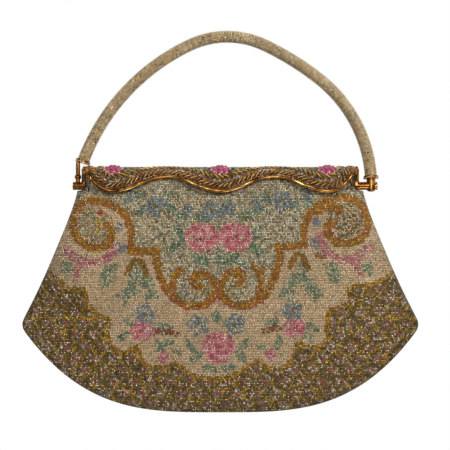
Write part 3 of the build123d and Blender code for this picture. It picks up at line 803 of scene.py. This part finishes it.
def dress_panel(side, height, front, seed):
    """Cloth and beads of one side. The back has a mirrored pattern and plainer beads."""
    mirror = 1 if front else -1
    cloth, x, u = soft_sheet(f"{side}_panel_cloth", height, front)
    under, _, _ = pattern(PX0 + mirror * x / PIXEL, PY0 - u / PIXEL, seed)
    # Painted shade: the cloth between the beads gets 0.3 of the pattern's colour at its place, so the gaps
    # between beads read dark.
    add_tint(cloth, 0.3 * under + 0.005, np.zeros(len(under)))
    flat_uv(cloth, x, u)
    cloth.data.materials.append(CLOTH)
    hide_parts(f"{side}_panel")
    bx, bu, bz, normal = panel_beads(1.0 if front else 1.05, seed, height, front)
    tint, metal, kind = pattern(PX0 + mirror * bx / PIXEL, PY0 - bu / PIXEL, seed + 1)
    a, d = shares(bx, np.minimum(bu, -SHOULDER_DROP))
    # Painted shade: beads darken towards the pouch's outline, to 0.66 of their colour at it, over about its
    # last 6 mm, where the cloth curves away.
    edge = np.clip(np.minimum((1 - np.abs(a)) * 100, (1 - d) * 100) / 6, 0, 1)
    tint = tint * (0.66 + 0.34 * edge)[:, None]
    made = []
    span = (np.array([-HALF_WIDTH, AXIS_Y - POUCH_DROP - 1]), np.array([HALF_WIDTH, AXIS_Y + SHEET_TOP]))
    r = np.random.default_rng(seed + 2)
    for k, name in enumerate(("field_beads", "figure_beads", "border_beads")):
        pick = kind == k
        count = int(pick.sum())
        centre = np.stack([bx[pick], AXIS_Y + bu[pick], bz[pick]], 1) - 0.05 * normal[pick]
        half = np.stack([r.uniform(0.40, 0.47, count), r.uniform(0.42, 0.48, count),
                         r.uniform(0.42, 0.6, count)], 1)
        ob = bead_object(f"{side}_{name}", centre, normal[pick], np.array([1.0, 0, 0]), half,
                         tint[pick], metal[pick], 2 if front else 1, span)
        ob.data.materials.append(FIELD if k == GROUND else BEADS)
        made.append(ob)
    for ob in [cloth, *made]:
        hang(ob, front)


def line_panel(side, height, front):
    """One of the two satin sheets inside the pouch."""
    def inner(a, d):
        return seam_height(d) + (height(a, d) - seam_height(d)) * LINING_DEPTH

    ob, x, u = soft_sheet(f"lining_{side}", inner, front, 81, 61, LINING_INSET, LINING_DROP)
    flat_uv(ob, x, u)
    ob.data.materials.append(SATIN)
    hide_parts("lining")
    hang(ob, front)


dress_panel("front", front_height, True, 11)
dress_panel("back", back_height, False, 31)
line_panel("front", front_height, True)
line_panel("back", back_height, False)


# Beadwork of the frame, laid out on the unrolled tube.

# Ropes: distances from the rim and half width; a strand's step, half run, half rise and beads; mixes.
LOWER_ROPE, UPPER_ROPE, ROPE_HALF = 3.5, 9.2, 1.2
STRAND_STEP, STRAND_RUN, STRAND_OUT, STRAND_BEADS = 2.9, 2.3, 1.7, 9
LOWER_MIX = ((0.5, "copper", 0.35), (0.28, "gold", 0.4), (0.12, "brown", 0), (0.1, "yellow", 0.5))
HIGHER_MIX = ((0.36, "olive", 0.3), (0.34, "yellow", 0.5), (0.18, "copper", 0.2), (0.12, "green", 0))
# Rows of the band: first and last distance from the rim, the step along a row and where the mix changes.
BAND_START, BAND_STOP, BAND_STEP, BAND_CHANGE = 1.75, 21.0, 0.98, 8.5
SILVER_BAND = ((0.16, "silver", 0.2), (0.14, "violet", 0), (0.16, "khaki", 0), (0.24, "copper", 0.1),
               (0.3, "brown", 0))
OLIVE_BAND = ((0.12, "green", 0), (0.2, "yellow", 0.2), (0.4, "olive", 0.1), (0.24, "brown", 0),
              (0.04, "cream", 0))
# Rings of a rose: radius, number of loops, their size, lift and shade.
ROSE_RINGS = ((3.9, 7, 1.75, 0.35, 1.25), (2.5, 5, 1.5, 0.95, 1.0), (1.1, 4, 1.05, 1.45, 0.75))
LOOP_BEADS, LEAF_BEADS = 9, 26


def tube_normal(v, front):
    phi = v / RIM_R
    return np.stack([np.zeros_like(phi), np.sin(phi), np.cos(phi) * (1.0 if front else -1.0)], -1)


def on_tube(x, v, r, front):
    """A place on the tube: along it, round it and out from it."""
    _, up, out = tube_normal(v, front).T
    return np.stack([x, AXIS_Y + r * up, AXIS_Z + r * out], -1)


def beside(offset, front):
    """A line beside the rim."""
    end = FRONT_END if front else BACK_END
    x, v = rim_line(end)
    tx, tv = np.gradient(x), np.gradient(v)
    size = np.hypot(tx, tv)
    x, v = x - tv / size * offset, v + tx / size * offset
    keep = (v < SEAM_V - 0.55) & (np.abs(x) < end - 1.7)
    return x[keep], v[keep]


def stepped(x, v, step):
    """Even steps along a line, with its direction at each."""
    s = np.concatenate([[0], np.cumsum(np.hypot(np.diff(x), np.diff(v)))])
    t = np.arange(step / 2, s[-1], step)
    return [np.interp(t, s, value) for value in (x, v, np.gradient(x, s), np.gradient(v, s))]


def tube_beads(name, x, v, lift, tx, tv, half, tint, metal, front):
    centre = on_tube(x, v, STRIP_R + lift, front)
    ahead = on_tube(x + 0.2 * tx, v + 0.2 * tv, STRIP_R + lift, front)
    ob = bead_object(name, centre, tube_normal(v, front), ahead - centre, half, tint, metal)
    ob.data.materials.append(BEADS)
    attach(ob, "front" if front else "back")
    return ob


def mixed(count, choices, seed):
    """Bead colours drawn by share from (share, colour, metal)."""
    r = np.random.default_rng(seed)
    odds, names, metal = zip(*choices)
    pick = r.choice(len(choices), count, p=np.array(odds) / sum(odds))
    tint = np.array([COLOURS[name] for name in names])[pick]
    tint = tint * np.clip(1 + 0.18 * r.normal(size=(count, 1)), 0.55, 1.6)
    return np.clip(tint, 0, 1), np.array(metal)[pick]


def dress_band(side, front, r, seed):
    """Rows of beads sewn to the strip, clear of the ropes and roses."""
    rows = []
    for offset in np.arange(BAND_START, BAND_STOP, 1.0):
        if min(abs(offset - LOWER_ROPE), abs(offset - UPPER_ROPE)) < ROPE_HALF:
            continue
        x, v = beside(offset, front)
        breaks = np.where(np.hypot(np.diff(x), np.diff(v)) > 2.0)[0] + 1
        for part in np.split(np.arange(len(x)), breaks):
            if len(part) > 4:
                line = stepped(x[part], v[part], BAND_STEP)
                rows.append(np.stack([*line, np.full_like(line[0], offset)]))
    band = np.concatenate(rows, 1)
    for cx in ROSE_X:
        band = band[:, np.hypot(band[0] - cx, band[1] - ROSE_V) > 5.0]
    x, v, tx, tv, offset = band
    count = len(x)
    low = offset < BAND_CHANGE
    silver, olive = mixed(count, SILVER_BAND, seed), mixed(count, OLIVE_BAND, seed + 1)
    tint = np.where(low[:, None], silver[0], olive[0])
    metal = np.where(low, silver[1], olive[1])
    half = np.stack([r.uniform(0.40, 0.46, count), np.full(count, 0.46), r.uniform(0.5, 0.75, count)], 1)
    ob = tube_beads(f"{side}_band_beads", x, v, -0.12, tx, tv, half, tint, metal, front)
    finish_node(f"{side}_bead_strip", STRIP_CLOTH)


def dress_rope(side, which, front, offset, twist, choices, seed):
    """A twisted rope: slanting strands of three bead threads, with painted shade on the side threads, where
    one dives under the next, and a painted highlight along each strand's middle thread.
    """
    x, v, tx, tv = stepped(*beside(offset, front), STRAND_STEP)
    size = np.hypot(tx, tv)
    tx, tv = tx / size, tv / size
    places = []
    for thread in (-0.8, 0.0, 0.8):
        for t in np.linspace(-1, 1, STRAND_BEADS):
            run = STRAND_RUN * t * twist + thread
            out = STRAND_OUT * t
            px, pv = x + run * tx - out * tv, v + run * tv + out * tx
            swell = math.sqrt(max(0.0, 1 - 0.95 * t * t)) * (1 - 0.35 * abs(thread))
            # Painted light: a strand's beads are brighter towards its middle, up to 1.5, and the side threads
            # are darkened to a fifth as painted shade.
            glow = (1.5 - 0.9 * abs(t)) * (1 if thread == 0 else 0.2)
            places.append(np.stack([px, pv, np.full_like(px, 0.02 + 1.1 * swell),
                                    tx * STRAND_RUN * twist - tv * STRAND_OUT,
                                    tv * STRAND_RUN * twist + tx * STRAND_OUT,
                                    np.arange(len(px)), np.full_like(px, glow)]))
    places = np.concatenate(places, 1)
    px, pv, lift, ax, av, strand, glow = places[:, places[1] < SEAM_V - 0.7]
    tint, metal = mixed(len(px), choices, seed + 5)
    tones = np.random.default_rng(seed + 6).uniform(0.6, 1.2, int(strand.max()) + 1)
    tone = tones[strand.astype(int)]
    # Painted highlight: the brightest middle-thread beads of three strands in four turn pale gold.
    bright = (glow > 0.95) & (strand % 4 != 2)
    tint[bright] = 0.6 * COLOURS["yellow"] + 0.3 * COLOURS["khaki"]
    metal[bright] = 0.3
    ob = tube_beads(f"{side}_{which}_rope_beads", px, pv, lift - 0.3, ax, av, (0.44, 0.4, 0.55),
                    tint * (tone * glow)[:, None], metal, front)
    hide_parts(f"{side}_{which}_rope")


def dress_roses(side, front, r):
    """Roses of looped threads, with a pair of leaves each."""
    places, colours = [], []
    for cx in ROSE_X:
        for ring, (radius, loops, size, lift, shade) in enumerate(ROSE_RINGS):
            for k in range(loops):
                turn = 2 * math.pi * k / loops + 0.5 * ring
                ct, st = math.cos(turn), math.sin(turn)
                for j in range(LOOP_BEADS):
                    spin = 2 * math.pi * j / LOOP_BEADS
                    cs, ss = math.cos(spin), math.sin(spin)
                    dx = radius * ct + size * (cs * ct - 0.8 * ss * st)
                    dv = radius * st + size * (cs * st + 0.8 * ss * ct)
                    places.append((cx + 1.05 * dx, ROSE_V + 0.92 * dv, lift + 0.35 * cs,
                                   -math.sin(turn + spin), math.cos(turn + spin)))
                    colours.append((shade, "mauve" if (j + k) % 3 else ("rose" if ring else "blush")))
        for way in (-1, 1):
            for j in range(LEAF_BEADS):
                t = j / (LEAF_BEADS - 1)
                dx = way * (5.0 + 4.2 * t)
                dv = -1.2 + 1.9 * math.sin(math.pi * t) * (1 if j % 2 else -1)
                places.append((cx + dx, ROSE_V + dv, 0.4 + 0.3 * math.sin(math.pi * t), 1.0, 0.4))
                colours.append((0.8, "olive" if j % 3 else "green"))
    p = np.array(places)
    tint = np.array([COLOURS[c] * s for s, c in colours])
    tint = tint * np.clip(1 + 0.12 * r.normal(size=(len(p), 1)), 0.6, 1.5)
    ob = tube_beads(f"{side}_rose_beads", *p.T, (0.52, 0.5, 0.72), tint, np.zeros(len(p)), front)
    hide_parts(f"{side}_roses")


def dress_frame(side, front, seed):
    r = np.random.default_rng(seed)
    dress_band(side, front, r, seed)
    dress_rope(side, "lower", front, LOWER_ROPE, 1.0, LOWER_MIX, seed)
    dress_rope(side, "upper", front, UPPER_ROPE, -1.0, HIGHER_MIX, seed)
    dress_roses(side, front, r)
    finish_node(f"{side}_frame", GILT)


dress_frame("front", True, 51)
dress_frame("back", False, 71)

# The handle: a core wound with bead threads. Its arch lies in a plane that tilts down from the frame's axis.

HANDLE_R, CORE_R, WRAP_R = 3.9, 3.3, 3.27
CROWN_X, CROWN_REACH, CROWN_R, CROWN_ENDS = 4.2, 90.5, 52.2, (115.7, 64.3)
RIGHT_BEND, RIGHT_FOOT, LEFT_FOOT = (59.87, 64.49), (90.3, 5.2), (-82.3, 14.6)
TILT = math.asin((AXIS_Z - HANDLE_R) / CROWN_REACH)
CORE_STEPS, CORE_SIDES = 260, 25
WRAP_PITCH, WRAP_BEADS, WRAP_OVER = 0.92, 24, 0.8
FERRULE_RUN, FERRULE_RAMP, FERRULE_RISE = 1.7, 0.9, 1.05
HANDLE_MIX = ((0.6, "khaki", 0.05), (0.28, "cream", 0.1), (0.04, "silver", 0.2), (0.05, "brown", 0),
              (0.03, "yellow", 0.3))


def tangent_arc(p, t, q, count=120):
    """Arc from p along t to q, and its direction at q."""
    p, t, q = np.array(p, float), np.array(t, float), np.array(q, float)
    n = np.array([-t[1], t[0]])
    d = q - p
    k = d @ d / (2 * (n @ d))
    c = p + n * k
    way = 1 if k > 0 else -1
    a0 = math.atan2(*(p - c)[::-1])
    a1 = math.atan2(*(q - c)[::-1])
    if (a1 - a0) * way < 0:
        a1 += 2 * math.pi * way
    a = np.linspace(a0, a1, count)
    line = c + abs(k) * np.stack([np.cos(a), np.sin(a)], 1)
    return line, way * np.array([-math.sin(a1), math.cos(a1)])


crown_a = np.radians(np.linspace(*CROWN_ENDS, 120))
crown = CROWN_R * np.stack([np.cos(crown_a), np.sin(crown_a)], 1) + [CROWN_X, CROWN_REACH - CROWN_R]
right_one, way = tangent_arc(crown[-1], (math.sin(crown_a[-1]), -math.cos(crown_a[-1])), RIGHT_BEND)
right_two, _ = tangent_arc(right_one[-1], way, RIGHT_FOOT)
left_one, _ = tangent_arc(crown[0], (-math.sin(crown_a[0]), math.cos(crown_a[0])), LEFT_FOOT)
arch = np.concatenate([left_one[::-1], crown[1:], right_one[1:], right_two[1:]])
run = np.concatenate([[0], np.cumsum(np.linalg.norm(np.diff(arch, axis=0), axis=1))])
LENGTH = run[-1]


def handle_point(s, turn, radius):
    """A place on the handle: along it, round it and out from its middle."""
    x, reach = (np.interp(s, run, arch[:, k]) for k in (0, 1))
    tx, tr = (np.interp(s, run, np.gradient(arch[:, k], run)) for k in (0, 1))
    size = np.hypot(tx, tr)
    past = s - np.clip(s, 0, LENGTH)
    x, reach = x + past * tx / size, reach + past * tr / size
    nx, nr = -tr / size, tx / size
    out, up = radius * np.cos(turn), radius * np.sin(turn)
    lx, lr = x + nx * out, reach + nr * out
    y = AXIS_Y + lr * math.cos(TILT) + up * math.sin(TILT)
    z = AXIS_Z - lr * math.sin(TILT) + up * math.cos(TILT)
    return np.stack([lx, y, z], -1)


tt, ss = np.meshgrid(np.linspace(0, 2 * math.pi, CORE_SIDES), np.linspace(0, LENGTH, CORE_STEPS))
core = make_object("handle_core", handle_point(ss.ravel(), tt.ravel(), CORE_R),
                   grid_tris(CORE_STEPS, CORE_SIDES, up=False))
core.data.materials.append(HANDLE_THREAD)
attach(core, "handle")
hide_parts("handle")
# The thread runs on over the ferrules at both ends.
t = np.arange(int((LENGTH + 2 * WRAP_OVER) / WRAP_PITCH) * WRAP_BEADS) / WRAP_BEADS
turn = 2 * math.pi * t
along = t * WRAP_PITCH - WRAP_OVER
from_end = np.minimum(along + WRAP_OVER, LENGTH + WRAP_OVER - along)
wrap = WRAP_R + FERRULE_RISE * np.clip((FERRULE_RUN - from_end) / FERRULE_RAMP, 0, 1)
centre = handle_point(along, turn, wrap)
normal = handle_point(along, turn, wrap + 1) - centre
ahead = handle_point(along + 0.02, turn + 0.2, wrap) - centre
tint, metal = mixed(len(turn), HANDLE_MIX, 91)
patch = 1.0 + 0.1 * np.sin(along / 7.3 + 1.7 * np.sin(along / 23.0)) * np.sin(turn + along / 40.0)
patch = patch * np.random.default_rng(92).uniform(0.8, 1.12, int(t.max()) + 1)[t.astype(int)]
ob = bead_object("handle_beads", centre, normal, ahead, (0.43, 0.44, 0.62),
                 tint * patch[:, None], metal, rings=1)
ob.data.materials.append(BEADS)
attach(ob, "handle")

# Plain metal pieces keep their CAD meshes.
for name in ("left_elbow", "right_elbow", "left_stud", "right_stud", "left_hinge_pin", "right_hinge_pin"):
    finish_node(name, GILT)
for name in ("catch_tongue", "catch_leaf"):
    finish_node(name, STEEL)

# Floor, light and camera, in metres. The floor is white to the camera alone.
FLOOR_SIZE, FLOOR_Z, FLOOR_GREY, FLOOR_ROUGH, SKY = 6, -0.0004, (0.8, 0.8, 0.8, 1), 0.9, 0.13
# Lamps: place, size and power.
LAMPS = {"key": ((0.75, 0.65, 0.85), 0.3, 14), "fill": ((-0.65, 0.7, 0.9), 0.16, 5),
         "back": ((0.2, -0.9, 0.8), 0.4, 3.5), "top": ((0.1, 0.4, 1.25), 0.35, 3)}
SENSOR, VIEW_WIDTH, VIEW_RANGE, CAMERA_Z, PHOTO_MIDDLE = 36, 0.27, 1.19, 1.2, 225

bpy.ops.mesh.primitive_plane_add(size=FLOOR_SIZE, location=(0, 0, FLOOR_Z))
floor = bpy.context.object
floor.name = "floor"
mat, nt, bsdf = new_material("floor")
put(bsdf, Base_Color=FLOOR_GREY, Roughness=FLOOR_ROUGH)
glow = node(nt, "ShaderNodeEmission", Color=(1, 1, 1, 1))
path = node(nt, "ShaderNodeLightPath")
mix = node(nt, "ShaderNodeMixShader")
link(path.outputs["Is Camera Ray"], mix.inputs["Fac"])
link(bsdf.outputs["BSDF"], mix.inputs[1])
link(glow.outputs["Emission"], mix.inputs[2])
link(mix.outputs["Shader"], nt.nodes["Material Output"].inputs["Surface"])
floor.data.materials.append(mat)

world = bpy.data.worlds.new("world")
bpy.context.scene.world = world
world.use_nodes = True
put(world.node_tree.nodes["Background"], Color=(1, 1, 1, 1), Strength=SKY)

for name, (place, size, power) in LAMPS.items():
    data = bpy.data.lights.new(name, "AREA")
    data.size = size
    data.energy = power
    ob = add_object(name, data)
    ob.location = place
    ob.rotation_euler = (-ob.location).to_track_quat("-Z", "Y").to_euler()

cam = bpy.data.cameras.new("camera")
cam.sensor_width = SENSOR
cam.lens = SENSOR * VIEW_RANGE / VIEW_WIDTH
camera = add_object("camera", cam)
across, along = (PHOTO_MIDDLE - PX0) * PIXEL, AXIS_Y + (PY0 - PHOTO_MIDDLE) * PIXEL
camera.location = (across * MM, along * MM, CAMERA_Z)
bpy.context.scene.camera = camera
bpy.context.scene.view_settings.view_transform = "Standard"
